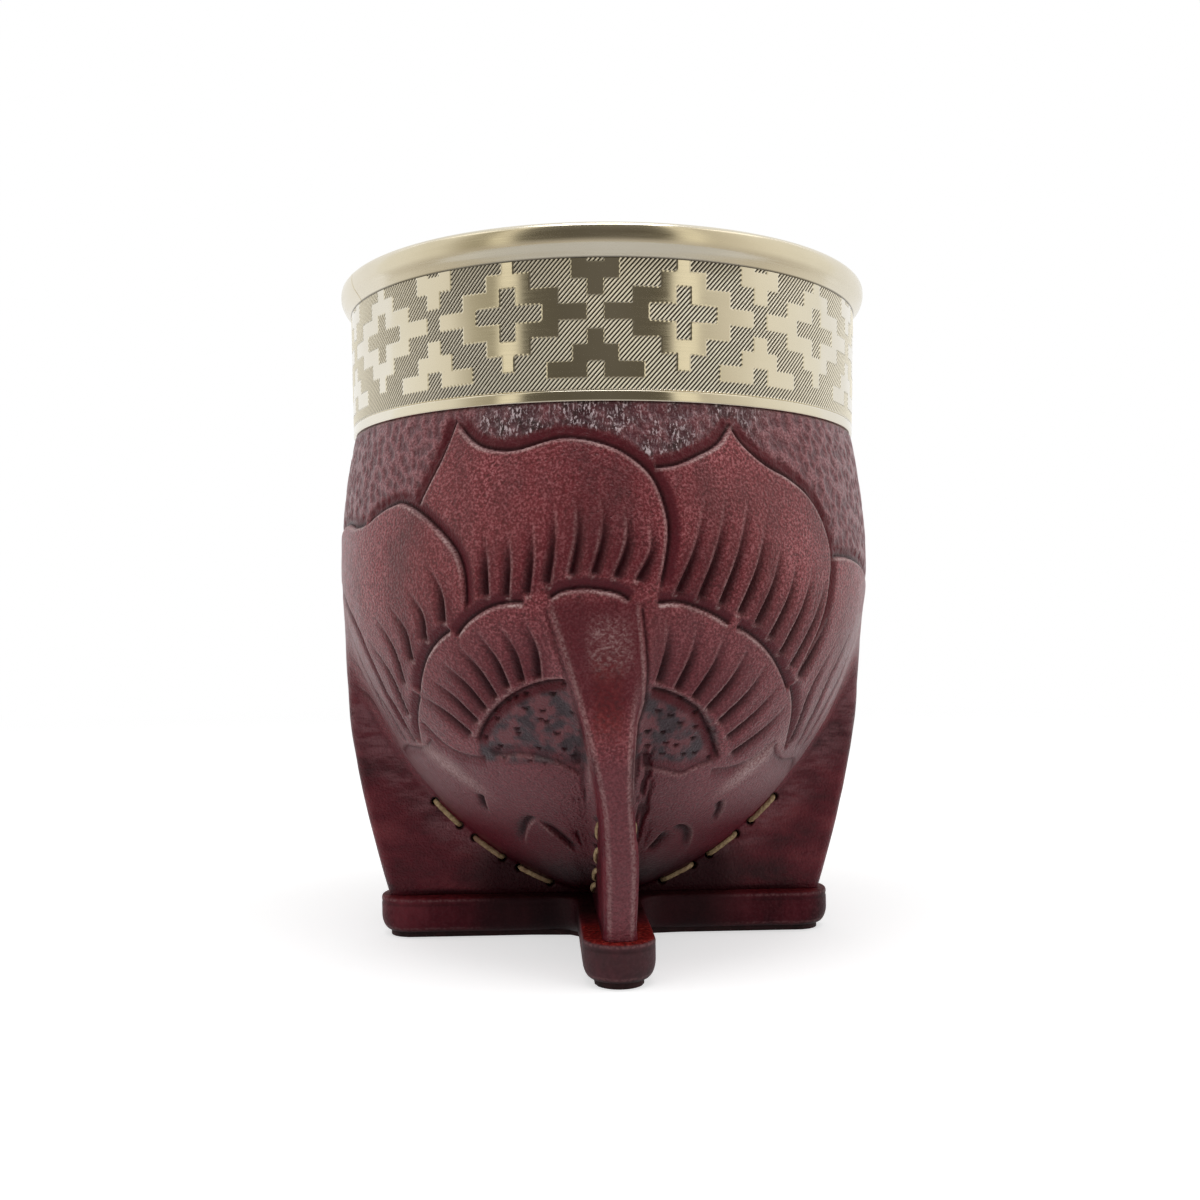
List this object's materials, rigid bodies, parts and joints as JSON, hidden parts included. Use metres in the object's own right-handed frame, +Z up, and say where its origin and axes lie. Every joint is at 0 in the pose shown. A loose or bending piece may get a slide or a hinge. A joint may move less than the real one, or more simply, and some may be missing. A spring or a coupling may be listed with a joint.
{
  "type": "mate gourd",
  "caption": "Calabash drinking cup in a tooled leather sleeve pinched into legs on a cross-shaped sole, with an engraved metal ferrule round its mouth.",
  "frame": {"origin": "on the cup's axis, on the surface that the sole pad stands on", "axes": "+Z up along the cup's axis, -Y towards the front leg"},
  "size_m": [0.0878, 0.0882, 0.1068],
  "materials": {
    "gourd": "dry, fibrous",
    "leather": "tooled, waxed, burgundy",
    "sole": "burnished edge, suede top",
    "pad": "matt",
    "band": "engraved nickel silver",
    "lip": "polished nickel silver",
    "thread": "waxed"
  },
  "bodies": {
    "root": {"gourd_shell": "gourd", "leather_cover": "leather", "base_sole": "sole", "sole_pad": "pad", "ferrule_band": "band", "ferrule_lip": "lip", "ferrule_sleeve": "lip", "leg_thread_front": "thread", "leg_thread_right": "thread", "leg_thread_back": "thread", "leg_thread_left": "thread", "back_seam_thread": "thread"}
  },
  "joints": []
}
